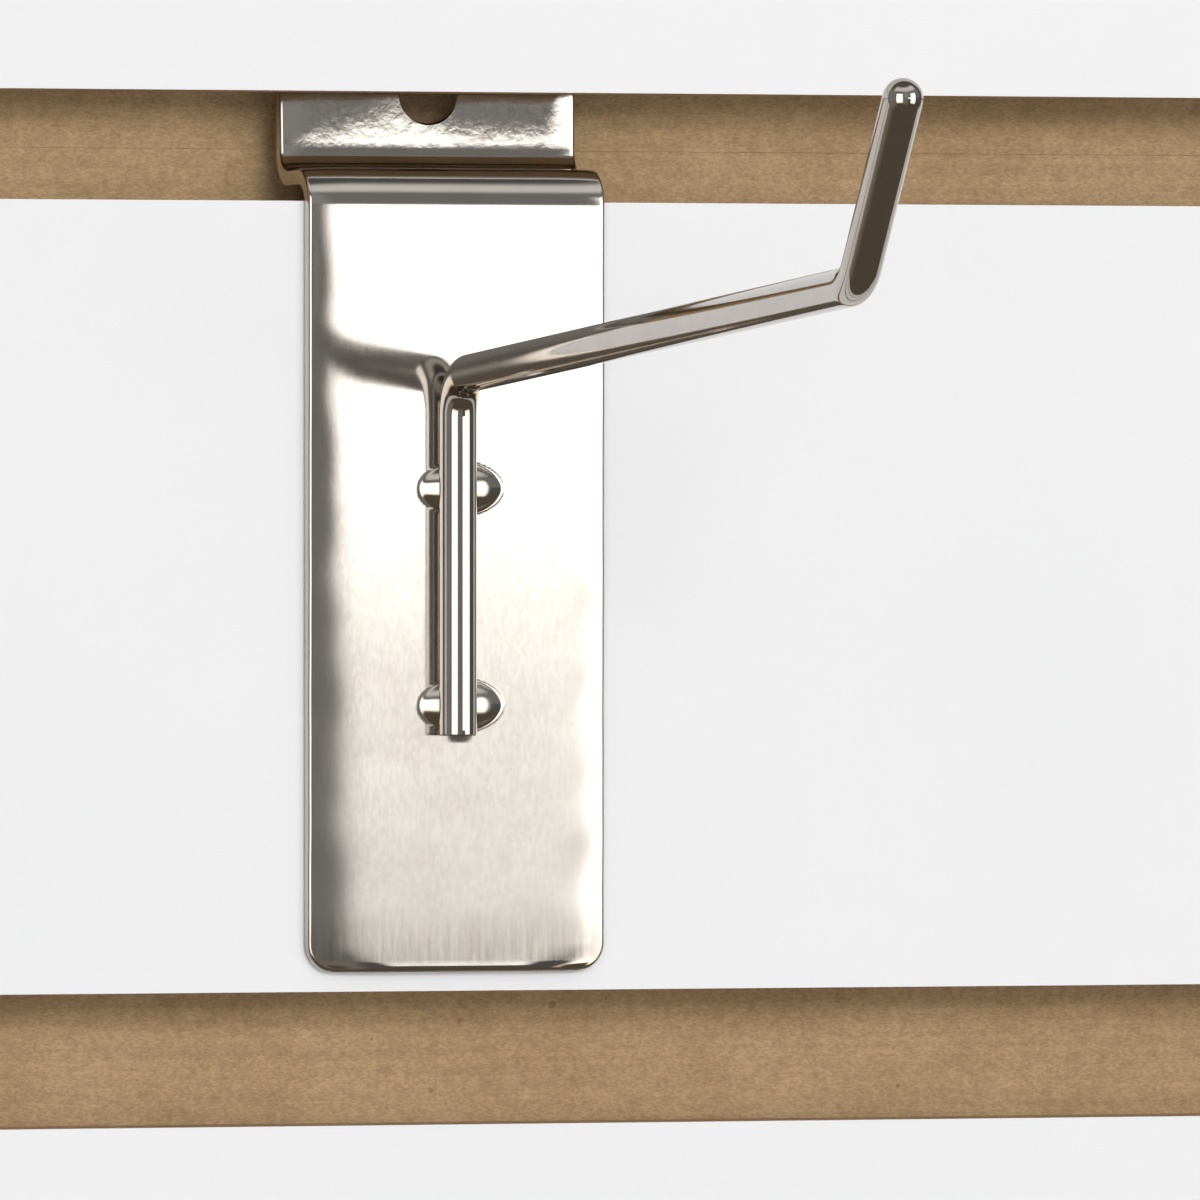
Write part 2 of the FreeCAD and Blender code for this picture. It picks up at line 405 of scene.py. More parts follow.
def chrome_sheet_material():
    """Chromed sheet: bright, cloudier and darker in upright streaks towards its sheared bottom."""
    material, tree, shader = new_material("chromed_sheet", (0.52, 0.49, 0.45), Metallic=1.0)
    place = millimetres(tree)
    height = add(tree, "ShaderNodeSeparateXYZ", Vector=place).outputs["Z"]
    foot = PLATE_LOW.z / MM
    tongue_foot = LIP_TOP / MM + 4.0

    # how sharply it mirrors: duller low down, speckled all over, polished on the rolled bottom edge
    speckle = use(tree, GRAIN, Vector=place, Stretch=(1.0, 1.0, 0.35), Scale=3.4)
    worn = ramp(tree, height, foot + 18.0, foot + 50.0, 0.165, 0.09)
    mottled = calc(tree, "ADD", worn, ramp(tree, speckle, 0.3, 0.7, -0.012, 0.012))
    edge_polish = ramp(tree, height, foot + 0.75, foot + 1.0, 0.25, 1.0)
    tree.links.new(calc(tree, "MULTIPLY", mottled, edge_polish), shader.inputs["Roughness"])

    # darker upright streaks in the colour that fade out above the foot
    upright_grain = use(tree, GRAIN, Vector=place, Stretch=(1.0, 1.0, 0.10), Scale=1.5)
    near_foot = calc(tree, "MULTIPLY", ramp(tree, height, foot + 0.7, foot + 1.3),
                     ramp(tree, height, foot + 1.3, foot + 6.5, 1.0, 0.0))
    marks = calc(tree, "MULTIPLY", near_foot, ramp(tree, upright_grain, 0.25, 0.75, 0.15, 0.85))
    plated = use(tree, MOTTLE, Vector=place, Scale=0.16, First=(0.500, 0.465, 0.425, 1.0),
                 Second=(0.530, 0.500, 0.460, 1.0))
    colour = mix_colour(tree, marks, plated, (0.32, 0.29, 0.25, 1.0))
    tree.links.new(colour, shader.inputs["Base Color"])

    # relief: long waves, speckle, the darker streaks, and a pebble on the tongue only
    waves = add(tree, "ShaderNodeTexNoise", Vector=place, Scale=0.16, Detail=1.0).outputs["Fac"]
    pebble = add(tree, "ShaderNodeTexNoise", Vector=place, Scale=1.1, Detail=3.0).outputs["Fac"]
    on_tongue = ramp(tree, height, tongue_foot, tongue_foot + 1.0)
    relief = bumped(tree, shader, waves, 0.012 * MM)
    relief = bumped(tree, shader, speckle, 0.0009 * MM, relief)
    relief = bumped(tree, shader, marks, 0.002 * MM, relief)
    bumped(tree, shader, calc(tree, "MULTIPLY", pebble, on_tongue), 0.010 * MM, relief)
    return material


def chrome_wire_material():
    """Chromed drawn wire: smoother than the sheet, faint draw lines along it."""
    material, tree, shader = new_material("chromed_wire", (0.52, 0.48, 0.44), Metallic=1.0)
    place = millimetres(tree)
    colour = use(tree, MOTTLE, Vector=place, Scale=0.25, First=(0.490, 0.450, 0.410, 1.0),
                 Second=(0.525, 0.490, 0.450, 1.0))
    tree.links.new(colour, shader.inputs["Base Color"])
    streak = use(tree, GRAIN, Vector=place, Stretch=(1.0, 0.2, 0.2), Scale=1.4)
    rough = ramp(tree, streak, 0.3, 0.7, 0.05, 0.09)
    tree.links.new(rough, shader.inputs["Roughness"])
    bumped(tree, shader, streak, 0.002 * MM)
    return material


# --------------------------------------------------------------- hook plate
class SheetPath:
    """The front surface of the bent sheet, followed from the plate's bottom to the tongue's top."""

    def __init__(self):
        self.outer = (BEND_INSIDE_MM + SHEET_MM) * MM
        self.inner = BEND_INSIDE_MM * MM
        self.front = WALL_FACE - (PLATE_GAP_MM + SHEET_MM) * MM
        self.bottom = PLATE_LOW.z
        bend_start = LIP_TOP - BEND_DROP_MM * MM
        tongue_front = PLATE_HIGH.y - SHEET_MM * MM
        ledge_y0 = self.front + self.outer
        ledge_y1 = tongue_front - self.inner
        self.ledge_z = bend_start + self.outer
        quarter = math.pi / 2.0
        self.runs = [bend_start - self.bottom, self.outer * quarter, ledge_y1 - ledge_y0,
                     self.inner * quarter, PLATE_HIGH.z - self.ledge_z - self.inner]
        self.ends = [sum(self.runs[:k + 1]) for k in range(len(self.runs))]
        self.length = self.ends[-1]
        self.bend_start = bend_start
        self.ledge_y0 = ledge_y0
        self.ledge_y1 = ledge_y1
        self.tongue_front = tongue_front

    def place(self, x, s, depth):
        """The point at x, s along the sheet and depth behind its front surface."""
        if s <= self.ends[0]:
            return Vector((x, self.front + depth, self.bottom + s))
        if s <= self.ends[1]:
            angle = (s - self.ends[0]) / self.outer
            radius = self.outer - depth
            return Vector((x, self.ledge_y0 - radius * math.cos(angle),
                           self.bend_start + radius * math.sin(angle)))
        if s <= self.ends[2]:
            return Vector((x, self.ledge_y0 + s - self.ends[1], self.ledge_z - depth))
        if s <= self.ends[3]:
            angle = (s - self.ends[2]) / self.inner
            radius = self.inner + depth
            centre_z = self.ledge_z + self.inner
            return Vector((x, self.ledge_y1 + radius * math.sin(angle),
                           centre_z - radius * math.cos(angle)))
        return Vector((x, self.tongue_front + depth, self.ledge_z + self.inner + s - self.ends[3]))


def graded(low, high, step):
    """Even stations from low to high, no further apart than step."""
    count = max(1, math.ceil((high - low) / step))
    return [low + (high - low) * k / count for k in range(count)]


def sheet_stations(path):
    """Distances along the sheet: close together at the ends, the bosses and the bends."""
    corner = PLATE_CORNER_MM * MM
    bend_start, bend_end, ledge_end, tongue_start = path.ends[:4]
    spans = [(0.0, corner, CORNER_STEP_MM)]
    here = corner
    for drop in sorted(BOSS_DROPS_MM, reverse=True):
        centre = LIP_TOP - drop * MM - path.bottom
        spans += [(here, centre - BOSS_REACH, FLAT_STEP_MM),
                  (centre - BOSS_REACH, centre + BOSS_REACH, FINE_STEP_MM)]
        here = centre + BOSS_REACH
    spans += [(here, bend_start, FLAT_STEP_MM), (bend_start, bend_end, FINE_STEP_MM),
              (bend_end, ledge_end, FLAT_STEP_MM), (ledge_end, tongue_start, INNER_BEND_STEP_MM),
              (tongue_start, path.length - corner, TONGUE_STEP_MM),
              (path.length - corner, path.length, CORNER_STEP_MM)]
    stations = []
    for low, high, step_mm in spans:
        stations += graded(low, high, step_mm * MM)
    return stations + [path.length]


def half_width(path, s, inset, half, corner):
    """Half of the sheet's width at s, its outline drawn in by inset, its ends rounded."""
    radius = corner - inset
    side = half - inset
    to_end = min(s - inset, path.length - inset - s)
    if to_end >= radius:
        return side
    short = radius - max(to_end, 0.0)
    return side - radius + math.sqrt(max(radius * radius - short * short, 0.0))


# A pressed boss is a bow turned about a line across the sheet's back face. These are the bow's radius,
# how far its centre lies behind that line, and half the length of sheet that a boss needs, with some spare.
BOSS_BOW = (BOSS_WIDTH_MM ** 2 / 4.0 + BOSS_HEIGHT_MM ** 2) / (2.0 * BOSS_HEIGHT_MM) * MM
BOSS_BOW_DEPTH = BOSS_BOW - (BOSS_HEIGHT_MM + SHEET_MM) * MM
BOSS_REACH = 1.15 * math.sqrt(((BOSS_HEIGHT_MM + SHEET_MM) * MM) ** 2 - (SHEET_MM * MM) ** 2)


def soft_floor(value, soft):
    """The value where it is positive and nothing where it isn't, with a rounded foot between."""
    if value <= -soft:
        return 0.0
    if value >= soft:
        return value
    return (value + soft) ** 2 / (4.0 * soft)


def boss_lift(x, s, path, inset):
    """How far the pressed bosses stand out, on the front with no inset or on the hollow back."""
    lift = 0.0
    bow = BOSS_BOW - inset
    for drop in BOSS_DROPS_MM:
        rise = s - (LIP_TOP - drop * MM - path.bottom)
        across = x - PLATE_X - BOSS_OFFSET_MM * MM
        girth = math.sqrt(max(bow * bow - across * across, 0.0)) - BOSS_BOW_DEPTH
        if girth > abs(rise):
            crest = math.sqrt(girth * girth - rise * rise) - SHEET_MM * MM + inset
            lift = max(lift, soft_floor(crest, BOSS_FOOT_MM * MM))
    return lift


# how fast the tongue's backward slope grows, per mm, at shares of its width from -1 to 1
TONGUE_LEAN = ((-1.0, 0.022), (-0.75, 0.014), (-0.5, 0.0095), (-0.2, 0.006), (0.05, 0.008),
               (0.25, 0.0130), (0.80, 0.0135), (0.92, 0.002), (1.0, 0.0))
STEEPEST_LEAN = 0.042            # the tongue's slope where it stops growing

# the sheared edges roll over; from the plate's foot to its bend both sizes shrink by the second number
ROLL_REACH_MM = (7.0, 2.5)
ROLL_DEPTH_MM = (0.31, 0.19)
ROLL_WAVES = ((0.10, 2.9, 0.0), (0.07, 1.15, 1.0))   # share of the depth, mm per radian, start


def tongue_lean(u):
    """The tongue's lean at one share of its width, read between the places given."""
    for (low, first), (high, second) in zip(TONGUE_LEAN, TONGUE_LEAN[1:]):
        if u <= high:
            return first + (second - first) * (u - low) / (high - low)
    return TONGUE_LEAN[-1][1]


def fall_back(u, s, path, half):
    """How far the front skin lies behind true flat: edges rolled over, tongue leaning back."""
    share = min(s / path.ends[0], 1.0)
    reach = (ROLL_REACH_MM[0] - ROLL_REACH_MM[1] * share) * MM
    depth = (ROLL_DEPTH_MM[0] - ROLL_DEPTH_MM[1] * share) * MM
    depth *= 1.0 + sum(size * math.sin(s / (length * MM) + start) for size, length, start in ROLL_WAVES)
    back = 0.0
    for distance in ((u + 1.0) * half, (1.0 - u) * half):
        if distance < reach:
            back += depth * (1.0 - distance / reach) ** 3
    above = max(s - path.ends[3], 0.0) / MM
    lean = tongue_lean(u)
    if lean * above > STEEPEST_LEAN:
        return back + STEEPEST_LEAN * (above - 0.5 * STEEPEST_LEAN / lean) * MM
    return back + 0.5 * lean * above * above * MM


def join_rings(bm, rings):
    """Faces between closed rings of as many vertices each."""
    count = len(rings[0])
    for near, away in zip(rings, rings[1:]):
        for k in range(count):
            j = (k + 1) % count
            bm.faces.new((near[k], near[j], away[j], away[k]))


def build_hook_plate(material):
    """The bent, bossed sheet as one closed skin: front, rounded rim, back."""
    path = SheetPath()
    half = 0.5 * (PLATE_HIGH.x - PLATE_LOW.x)
    corner = PLATE_CORNER_MM * MM
    sheet = SHEET_MM * MM
    edge = PLATE_EDGE_MM * MM
    back_edge = BACK_EDGE_MM * MM
    stations = sheet_stations(path)
    shares = [2.0 * k / PLATE_COLUMNS - 1.0 for k in range(PLATE_COLUMNS + 1)]
    bm = bmesh.new()

    def point(u, s, inset, depth, on_front, on_back):
        """A vertex at a share of the width and a station, on the front, the rim or the back."""
        along = inset + s * ((path.length - 2.0 * inset) / path.length)
        x = u * half_width(path, along, inset, half, corner)
        if on_front:
            depth += fall_back(u, s, path, half)
            depth -= boss_lift(x + PLATE_X, along, path, 0.0)
        if on_back:
            depth -= boss_lift(x + PLATE_X, along, path, sheet)
        return bm.verts.new(path.place(PLATE_X + x, along, depth))

    def skin(inset, depth, on_front):
        """One side of the sheet; gives the vertices round it."""
        rows = [[point(u, s, inset, depth, on_front, not on_front) for u in shares] for s in stations]
        for low, high in zip(rows, rows[1:]):
            for k in range(PLATE_COLUMNS):
                bm.faces.new((low[k], low[k + 1], high[k + 1], high[k]))
        top = list(reversed(rows[-1]))
        left = [row[0] for row in reversed(rows)]
        right = [row[-1] for row in rows]
        return rows[0][:-1] + right[:-1] + top[:-1] + left[:-1]

    bottom = [(u, stations[0]) for u in shares]
    right = [(1.0, s) for s in stations]
    top = [(-u, stations[-1]) for u in shares]
    left = [(-1.0, s) for s in reversed(stations)]
    outline = bottom[:-1] + right[:-1] + top[:-1] + left[:-1]

    def ring(inset, depth, on_front):
        """The vertices of one line round the rim."""
        return [point(u, s, inset, depth, on_front, False) for u, s in outline]

    rings = [skin(edge, 0.0, True)]
    for k in range(1, RIM_STEPS + 1):
        angle = 0.5 * math.pi * k / RIM_STEPS
        rings.append(ring(edge * (1.0 - math.sin(angle)), edge * (1.0 - math.cos(angle)), True))
    rings.append(ring(0.0, sheet - back_edge, False))
    rings.append(ring(0.3 * back_edge, sheet - 0.3 * back_edge, False))
    rings.append(skin(back_edge, sheet, False))
    join_rings(bm, rings)
    mesh = drilled(mesh_from(bm, "hook_plate_bright"), path)
    smooth_with(mesh, material)
    declare(new_object("hook_plate_bright", mesh), "hook", ("hook_plate",))


def drill_bit(path):
    """A closed lathe shape: the hang hole's width, flared where it enters the tongue's front."""
    radius = 0.5 * HANG_HOLE_MM * MM
    flare = HOLE_EDGE_MM * MM
    spare = 1.5 * MM
    front = path.tongue_front
    profile = ((front - spare, radius + flare + spare), (front + flare, radius), (PLATE_HIGH.y + MM, radius))
    height = PLATE_HIGH.z - HANG_HOLE_DROP_MM * MM
    bm = bmesh.new()
    rings = []
    for y, reach in profile:
        ring = []
        for k in range(HOLE_SIDES):
            angle = 2.0 * math.pi * (k + HOLE_TURN) / HOLE_SIDES
            place = (PLATE_X + reach * math.cos(angle), y, height + reach * math.sin(angle))
            ring.append(bm.verts.new(place))
        rings.append(ring)
    join_rings(bm, rings)
    bm.faces.new(rings[0])
    bm.faces.new(rings[-1])
    return mesh_from(bm, "drill")


def drilled(mesh, path):
    """Drills the tongue's hang hole through the finished sheet."""
    blank = new_object("blank", mesh)
    drill = new_object("drill", drill_bit(path))
    cut = blank.modifiers.new("hang_hole", "BOOLEAN")
    cut.operation = "DIFFERENCE"
    cut.solver = "EXACT"
    cut.object = drill
    graph = bpy.context.evaluated_depsgraph_get()
    result = bpy.data.meshes.new_from_object(blank.evaluated_get(graph))
    bpy.data.objects.remove(blank)
    bpy.data.objects.remove(drill)
    return result


# ----------------------------------------------------------------- hook peg
def bent_wire_tree():
    """Sweeps a round wire along a line: corners bent, the first end broken, the last end round."""
    tree, start, end = new_geometry_tree("bent_wire", {
        "Wire Radius": "NodeSocketFloat", "Foot Break": "NodeSocketFloat", "Step": "NodeSocketFloat",
        "Fine Step": "NodeSocketFloat", "Sides": "NodeSocketInt", "Material": "NodeSocketMaterial"})
    size = start.outputs
    line = add(tree, "GeometryNodeMeshToCurve", Mesh=size["Geometry"])
    corner = add(tree, "GeometryNodeInputNamedAttribute", {"data_type": "FLOAT"}, Name="bend_radius")
    bent = add(tree, "GeometryNodeFilletCurve", {"mode": "POLY"}, Curve=line.outputs[0],
               Count=BEND_SEGMENTS, Radius=corner.outputs["Attribute"])

    along = add(tree, "GeometryNodeSplineParameter").outputs["Length"]
    total = add(tree, "GeometryNodeSplineLength").outputs["Length"]
    to_tip = calc(tree, "SUBTRACT", total, along)
    at_tip = calc(tree, "LESS_THAN", to_tip, calc(tree, "MULTIPLY", size["Wire Radius"], 1.01))
    at_foot = calc(tree, "LESS_THAN", along, calc(tree, "MULTIPLY", size["Foot Break"], 0.99))
    at_end = calc(tree, "MAXIMUM", at_tip, at_foot)
    finer = calc(tree, "SUBTRACT", size["Fine Step"], size["Step"])
    step = calc(tree, "MULTIPLY_ADD", at_end, finer, size["Step"])
    here = add(tree, "GeometryNodeInputPosition").outputs[0]
    index = add(tree, "GeometryNodeInputIndex").outputs[0]
    following = add(tree, "GeometryNodeFieldAtIndex", {"data_type": "FLOAT_VECTOR", "domain": "POINT"},
                    Value=here, Index=calc(tree, "ADD", index, 1.0))
    run = add(tree, "ShaderNodeVectorMath", {"operation": "DISTANCE"})
    tree.links.new(here, run.inputs[0])
    tree.links.new(following.outputs[0], run.inputs[1])
    cuts = calc(tree, "FLOOR", calc(tree, "DIVIDE", run.outputs["Value"], step))
    divided = add(tree, "GeometryNodeSubdivideCurve", Curve=bent.outputs[0], Cuts=cuts)

    tip_share = calc(tree, "MINIMUM", calc(tree, "DIVIDE", to_tip, size["Wire Radius"]), 1.0)
    foot_share = calc(tree, "MINIMUM", calc(tree, "DIVIDE", along, size["Foot Break"]), 1.0)
    tip_scale = quarter_round(tree, tip_share)
    loss = calc(tree, "MULTIPLY", calc(tree, "SUBTRACT", 1.0, quarter_round(tree, foot_share)),
                calc(tree, "DIVIDE", size["Foot Break"], size["Wire Radius"]))
    scale = calc(tree, "MULTIPLY", tip_scale, calc(tree, "SUBTRACT", 1.0, loss))
    section = add(tree, "GeometryNodeCurvePrimitiveCircle", {"mode": "RADIUS"}, Resolution=size["Sides"])
    tree.links.new(size["Wire Radius"], section.inputs["Radius"])
    wire = add(tree, "GeometryNodeCurveToMesh", Curve=divided.outputs[0], Profile_Curve=section.outputs[0],
               Scale=scale, Fill_Caps=True)
    closed = add(tree, "GeometryNodeMergeByDistance", Geometry=wire.outputs[0], Distance=0.001 * MM)
    end_geometry_tree(tree, start, end, closed.outputs[0])
    return tree


def quarter_round(tree, share):
    """The height of a quarter circle, from 0 to 1, at a share of its width."""
    return calc(tree, "SQRT", calc(tree, "MULTIPLY", share, calc(tree, "SUBTRACT", 2.0, share)))


def slope(degrees):
    """The direction out of the wall that rises by so many degrees."""
    angle = math.radians(degrees)
    return Vector((0.0, -math.cos(angle), math.sin(angle)))


def build_hook_peg(material):
    """The wire: a leg on the plate, an arm out of the wall and an upturned tip."""
    radius = 0.5 * (PEG_HIGH.x - PEG_LOW.x)
    foot = Vector((PEG_X, PEG_HIGH.y - radius, PEG_LOW.z))
    leg_corner = Vector((foot.x, foot.y, LIP_TOP - LEG_BEND_DROP_MM * MM))
    tip_corner = leg_corner + slope(ARM_RISE) * ARM_LENGTH_MM * MM
    tip_centre = tip_corner + slope(TIP_RISE) * TIP_LENGTH_MM * MM
    foot_break = FOOT_BREAK_MM * MM
    route = [(foot, 0.0), (foot + Vector((0.0, 0.0, foot_break)), 0.0), (leg_corner, LEG_BEND_MM * MM),
             (tip_corner, TIP_BEND_MM * MM), (tip_centre, 0.0), (tip_centre + slope(TIP_RISE) * radius, 0.0)]
    line = bpy.data.meshes.new("peg_line")
    line.from_pydata([place for place, _ in route], [(k, k + 1) for k in range(len(route) - 1)], [])
    bends = line.attributes.new("bend_radius", "FLOAT", "POINT")
    bends.data.foreach_set("value", [bend for _, bend in route])
    mesh = grown("hook_peg_bright", line, bent_wire_tree(), {
        "Wire Radius": radius, "Foot Break": foot_break, "Step": WIRE_STEP_MM * MM,
        "Fine Step": WIRE_FINE_STEP_MM * MM, "Sides": WIRE_SIDES, "Material": material})
    smooth_with(mesh, material, 40.0)
    declare(new_object("hook_peg_bright", mesh), "hook", ("hook_peg",))


# -------------------------------------------------------------- raw edges
FIBRE_SPACING_MM = 1.7
FIBRE_LENGTH_MM = 0.34
FIBRE_THICKNESS_MM = 0.035
FIBRE_SEED = 11
FIBRE_END_GAP_MM = 4.0           # the board's ends stay clean
FIBRE_BEHIND_FACE_MM = 0.4       # from the laminate's back to the front row of fibres


def edge_fibre_tree():
    """Tiny stubs of fibre, strewn along lines and turned every way."""
    tree, start, end = new_geometry_tree("edge_fibres", {
        "Spacing": "NodeSocketFloat", "Length": "NodeSocketFloat", "Thickness": "NodeSocketFloat",
        "Seed": "NodeSocketInt", "Material": "NodeSocketMaterial"})
    size = start.outputs
    line = add(tree, "GeometryNodeMeshToCurve", Mesh=size["Geometry"])
    points = add(tree, "GeometryNodeCurveToPoints", {"mode": "LENGTH"}, Curve=line.outputs[0])
    tree.links.new(size["Spacing"], points.inputs["Length"])

    def random_vector(low, high, offset):
        node = tree.nodes.new("FunctionNodeRandomValue")
        node.data_type = "FLOAT_VECTOR"
        node.inputs[0].default_value = low
        node.inputs[1].default_value = high
        tree.links.new(calc(tree, "ADD", size["Seed"], offset), node.inputs["Seed"])
        return node.outputs[0]

    shift = add(tree, "ShaderNodeVectorMath", {"operation": "SCALE"})
    tree.links.new(random_vector((-1.5, -0.06, -0.02), (1.5, 0.06, 0.02), 0.0), shift.inputs[0])
    tree.links.new(size["Spacing"], shift.inputs["Scale"])
    strewn = add(tree, "GeometryNodeSetPosition", Geometry=points.outputs["Points"], Offset=shift.outputs[0])
    stub = add(tree, "GeometryNodeMeshCone", Vertices=4, Side_Segments=2)
    tree.links.new(calc(tree, "MULTIPLY", size["Thickness"], 0.3), stub.inputs["Radius Top"])
    tree.links.new(size["Thickness"], stub.inputs["Radius Bottom"])
    tree.links.new(size["Length"], stub.inputs["Depth"])
    any_way = random_vector((0.0, 0.0, 0.0), (6.3, 6.3, 6.3), 1.0)
    turn = add(tree, "FunctionNodeEulerToRotation", Euler=any_way)
    size_share = random_vector((0.5, 0.5, 0.3), (1.2, 1.2, 1.0), 2.0)
    placed = add(tree, "GeometryNodeInstanceOnPoints", Points=strewn.outputs[0],
                 Instance=stub.outputs["Mesh"], Rotation=turn.outputs[0], Scale=size_share)
    end_geometry_tree(tree, start, end, placed.outputs[0])
    return tree


def build_edge_fibres(material):
    """Fibre stubs along the raw corners of every lip, front and back."""
    line = bpy.data.meshes.new("lip_corners")
    points = []
    gap = FIBRE_END_GAP_MM * MM
    for part in frame["record"]["subparts"]:
        if part["node"].startswith("face_strip_"):
            low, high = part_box(part["node"])
            for z in (low.z, high.z):
                for y in (high.y + FIBRE_BEHIND_FACE_MM * MM, low.y + LIP_DEPTH_MM * MM):
                    points += [(low.x + gap, y, z), (high.x - gap, y, z)]
    line.from_pydata(points, [(k, k + 1) for k in range(0, len(points), 2)], [])
    mesh = grown("edge_fibres", line, edge_fibre_tree(), {
        "Spacing": FIBRE_SPACING_MM * MM, "Length": FIBRE_LENGTH_MM * MM,
        "Thickness": FIBRE_THICKNESS_MM * MM, "Seed": FIBRE_SEED, "Material": material})
    smooth_with(mesh, material)
    declare(new_object("edge_fibres", mesh), "panel")


# ------------------------------------------------------------ light and view
def light_patch_group():
    """A soft-edged patch of the surroundings, between two azimuths and two heights in degrees."""
    sockets = {"Azimuth": ("NodeSocketFloat", 0.0), "Height": ("NodeSocketFloat", 0.0)}
    for label in ("Left", "Right", "Side Softness", "Bottom", "Top", "Height Softness", "Strength"):
        sockets[label] = ("NodeSocketFloat", 1.0)
    tree, start, end = new_group("light_patch", sockets, {"Light": "NodeSocketFloat"})
    value = start.outputs

    def edge(position, where, softness, sign):
        inside = calc(tree, "MULTIPLY", calc(tree, "SUBTRACT", value[position], value[where]), sign)
        share = calc(tree, "ADD", calc(tree, "DIVIDE", inside, value[softness]), 0.5)
        return ramp(tree, share, 0.0, 1.0)

    across = calc(tree, "MULTIPLY", edge("Azimuth", "Left", "Side Softness", 1.0),
                  edge("Azimuth", "Right", "Side Softness", -1.0))
    upright = calc(tree, "MULTIPLY", edge("Height", "Bottom", "Height Softness", 1.0),
                   edge("Height", "Top", "Height Softness", -1.0))
    light = calc(tree, "MULTIPLY", calc(tree, "MULTIPLY", across, upright), value["Strength"])
    tree.links.new(light, end.inputs["Light"])
    return tree


# What the chrome sees, in degrees: left, right, side softness, bottom, top, height softness, strength
LIGHT_PATCHES = (
    (12.0, 30.0, 5.0, -1.6, 3.3, 2.2, 2.85),       # low strip, which the plate mirrors
    (28.0, 57.0, 7.0, -24.0, 24.0, 10.0, 2.6),    # window on the right
    (-55.0, -20.0, 7.0, -24.0, 24.0, 10.0, 2.6),  # window on the left
    (-22.0, 12.0, 5.0, -34.0, 34.0, 10.0, 0.13),  # wall between the windows
    (-10.0, 90.0, 10.0, 4.0, 33.0, 4.0, 0.13),    # grey wall above the low strip
    (-80.0, 80.0, 20.0, 38.0, 62.0, 16.0, 0.80),  # ceiling light
    (-150.0, -61.0, 10.0, -40.0, 40.0, 20.0, 0.16),  # dim wall far round on the left
)
ROOM_LIGHT = 0.125
ROOM_COLOUR = (1.0, 0.995, 0.985, 1.0)
GROUND_COLOUR = (1.0, 0.84, 0.62, 1.0)
GROUND_FADE = (-30.0, -5.0)      # degrees of height, from the ground's colour to the room's
BACKDROP = (0.80, 0.80, 0.79, 1.0)


def studio_surroundings():
    """Soft panels of light round a dim room for the chrome to mirror, and a plain pale backdrop."""
    world = bpy.data.worlds.new("studio")
    bpy.context.scene.world = world
    world.use_nodes = True
    world.cycles_visibility.diffuse = False
    tree = world.node_tree
    place = tree.nodes.new("ShaderNodeTexCoord")
    parts = add(tree, "ShaderNodeSeparateXYZ", Vector=place.outputs["Generated"])
    forward = calc(tree, "MULTIPLY", parts.outputs["Y"], -1.0)
    azimuth = calc(tree, "DEGREES", calc(tree, "ARCTAN2", parts.outputs["X"], forward))
    height = calc(tree, "DEGREES", calc(tree, "ARCSINE", parts.outputs["Z"]))
    total = ROOM_LIGHT
    group = light_patch_group()
    for left, right, side_soft, bottom, top, height_soft, strength in LIGHT_PATCHES:
        light = use(tree, group, Azimuth=azimuth, Height=height, Left=left, Right=right,
                    Side_Softness=side_soft, Bottom=bottom, Top=top, Height_Softness=height_soft,
                    Strength=strength)
        total = calc(tree, "ADD", total, light)
    mirrored = tree.nodes["Background"]
    tree.links.new(total, mirrored.inputs["Strength"])
    tint = mix_colour(tree, ramp(tree, height, *GROUND_FADE), GROUND_COLOUR, ROOM_COLOUR)
    tree.links.new(tint, mirrored.inputs["Color"])
    backdrop = add(tree, "ShaderNodeBackground", Color=BACKDROP)
    seen = tree.nodes.new("ShaderNodeLightPath")
    either = tree.nodes.new("ShaderNodeMixShader")
    tree.links.new(seen.outputs["Is Camera Ray"], either.inputs[0])
    tree.links.new(mirrored.outputs[0], either.inputs[1])
    tree.links.new(backdrop.outputs[0], either.inputs[2])
    tree.links.new(either.outputs[0], tree.nodes["World Output"].inputs["Surface"])


# azimuth, height (degrees), distance, width, height (metres), brightness of the surface
SOFTBOXES = (
    ("key", -3.0, 10.0, 2.2, 0.7, 0.42, 16.2),
    ("front_fill", -4.0, 6.0, 2.2, 2.8, 2.2, 1.74),
    ("upper_fill", 0.0, 52.0, 2.4, 2.2, 1.0, 1.3),
    ("left_side", -100.0, 12.0, 2.0, 1.2, 1.2, 1.6),
    ("right_side", 100.0, 12.0, 2.0, 1.2, 1.2, 1.6),
    ("back", 172.0, 24.0, 2.2, 2.2, 1.6, 2.2),
)


def hang_softboxes():
    """Large soft lamps that light the matt surfaces and stay out of the chrome."""
    target = Vector((PLATE_X, WALL_FACE, LIP_TOP))
    for name, azimuth, height, distance, width, tall, brightness in SOFTBOXES:
        away = towards(azimuth, height)
        lamp = bpy.data.lights.new(name, "AREA")
        lamp.shape = "RECTANGLE"
        lamp.size = width
        lamp.size_y = tall
        lamp.energy = brightness * math.pi * width * tall
        holder = bpy.data.objects.new(name, lamp)
        holder.location = target + away * distance
        holder.rotation_euler = away.to_track_quat("Z", "Y").to_euler()
        holder.visible_glossy = False
        bpy.context.scene.collection.objects.link(holder)


FLOOR_HALF_SIZE = 12.0           # metres
FLOOR_COLOUR = (0.16, 0.16, 0.158, 1.0)
FLOOR_GLOW = 0.44                # keeps the far floor as pale as the near one


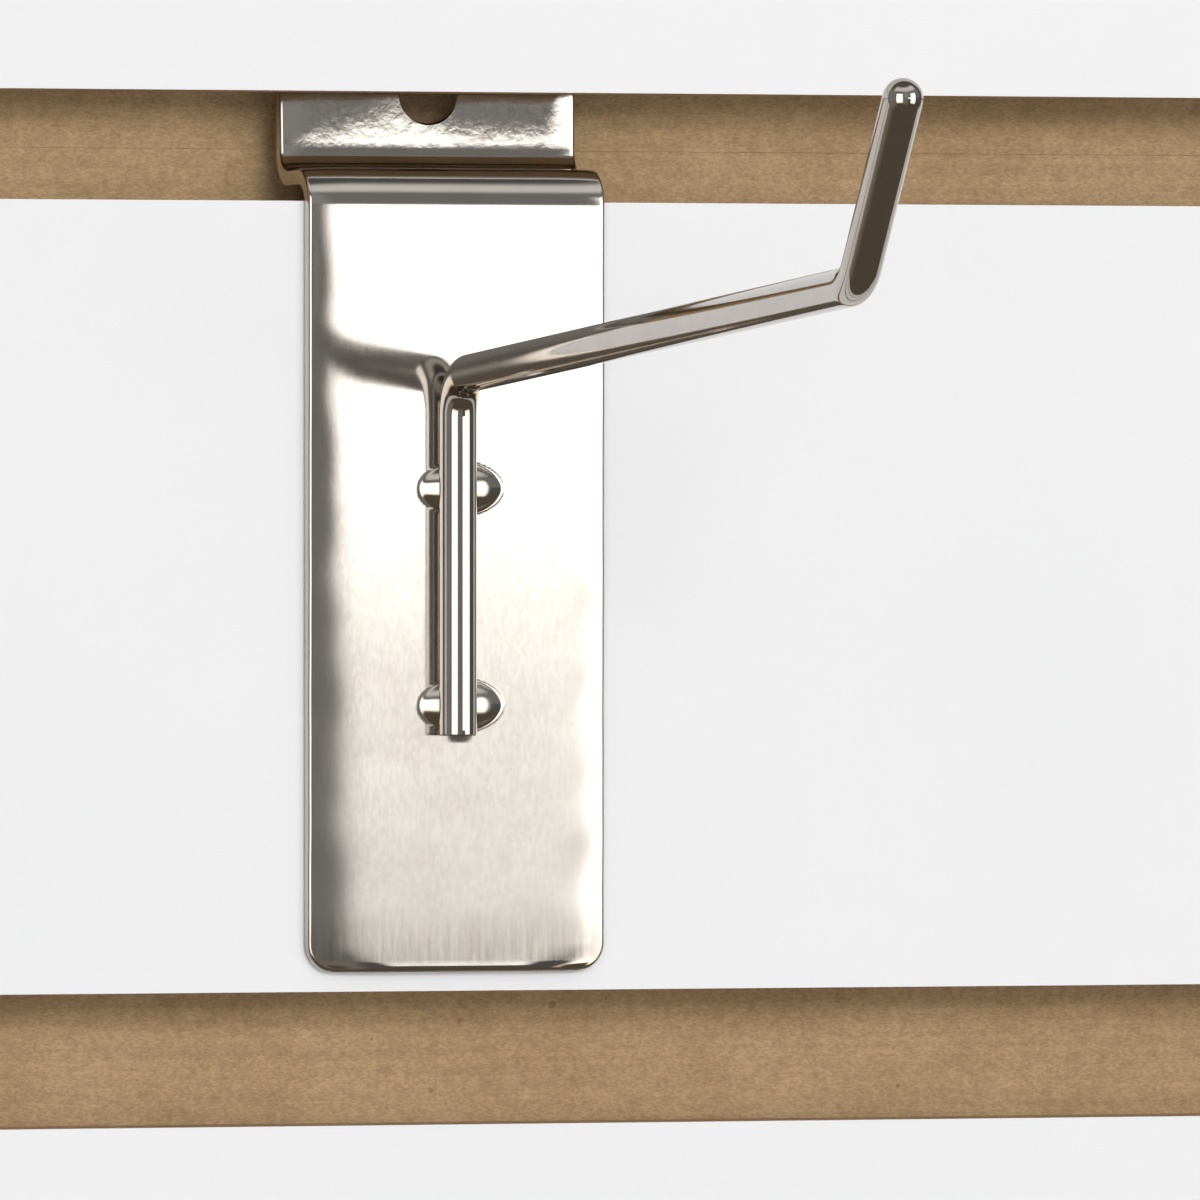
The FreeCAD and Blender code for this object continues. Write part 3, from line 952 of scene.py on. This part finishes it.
def stage_floor():
    """A pale floor under the panel."""
    low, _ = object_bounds()
    bm = bmesh.new()
    size = FLOOR_HALF_SIZE
    corners = ((-size, -size), (size, -size), (size, size), (-size, size))
    bm.faces.new([bm.verts.new((x, y, low[2])) for x, y in corners])
    mesh = mesh_from(bm, "floor")
    material, _, shader = new_material("pale_floor", (0.8, 0.8, 0.8), Roughness=0.7, Base_Color=FLOOR_COLOUR)
    shader.inputs["Emission Color"].default_value = (1.0, 1.0, 0.99, 1.0)
    shader.inputs["Emission Strength"].default_value = FLOOR_GLOW
    mesh.materials.append(material)
    floor = new_object("floor", mesh)
    floor.visible_glossy = False


VIEW_AZIMUTH = -17.63            # degrees, the camera stands to the panel's left
VIEW_HEIGHT = 0.26               # degrees above level
VIEW_DISTANCE = 1.4
VIEW_LENS = 500.7
VIEW_RIGHT_MM = 12.97            # where it looks, from the plate's middle and the lip's top edge
VIEW_DOWN_MM = 33.33


def set_camera():
    """A long lens close to level, on the panel's left, aimed beside the hook's leg."""
    back = towards(VIEW_AZIMUTH, VIEW_HEIGHT)
    target = Vector((PLATE_X + VIEW_RIGHT_MM * MM, WALL_FACE, LIP_TOP - VIEW_DOWN_MM * MM))
    data = bpy.data.cameras.new("camera")
    data.lens = VIEW_LENS
    data.sensor_width = 36.0
    data.clip_start = 0.05
    data.clip_end = 100.0
    camera = bpy.data.objects.new("camera", data)
    camera.location = target + back * VIEW_DISTANCE
    camera.rotation_euler = back.to_track_quat("Z", "Y").to_euler()
    bpy.context.scene.collection.objects.link(camera)
    bpy.context.scene.camera = camera
    bpy.context.scene.view_settings.view_transform = "Standard"


# ------------------------------------------------------------------ assembly
def finish_boards(fibreboard):
    """Gives the panel's own CAD pieces their materials."""
    finishes = {"mdf": fibreboard, "white_laminate": laminate_material(),
                "balancing_sheet": backer_material()}
    for part in frame["record"]["subparts"]:
        if part["material_slot"] in finishes:
            node = frame["nodes"][part["node"]]
            for slot in node.material_slots:
                slot.material = finishes[part["material_slot"]]


set_camera()
studio_surroundings()
hang_softboxes()
raw_board = fibreboard_material()
finish_boards(raw_board)
build_edge_fibres(raw_board)
build_hook_plate(chrome_sheet_material())
build_hook_peg(chrome_wire_material())
stage_floor()
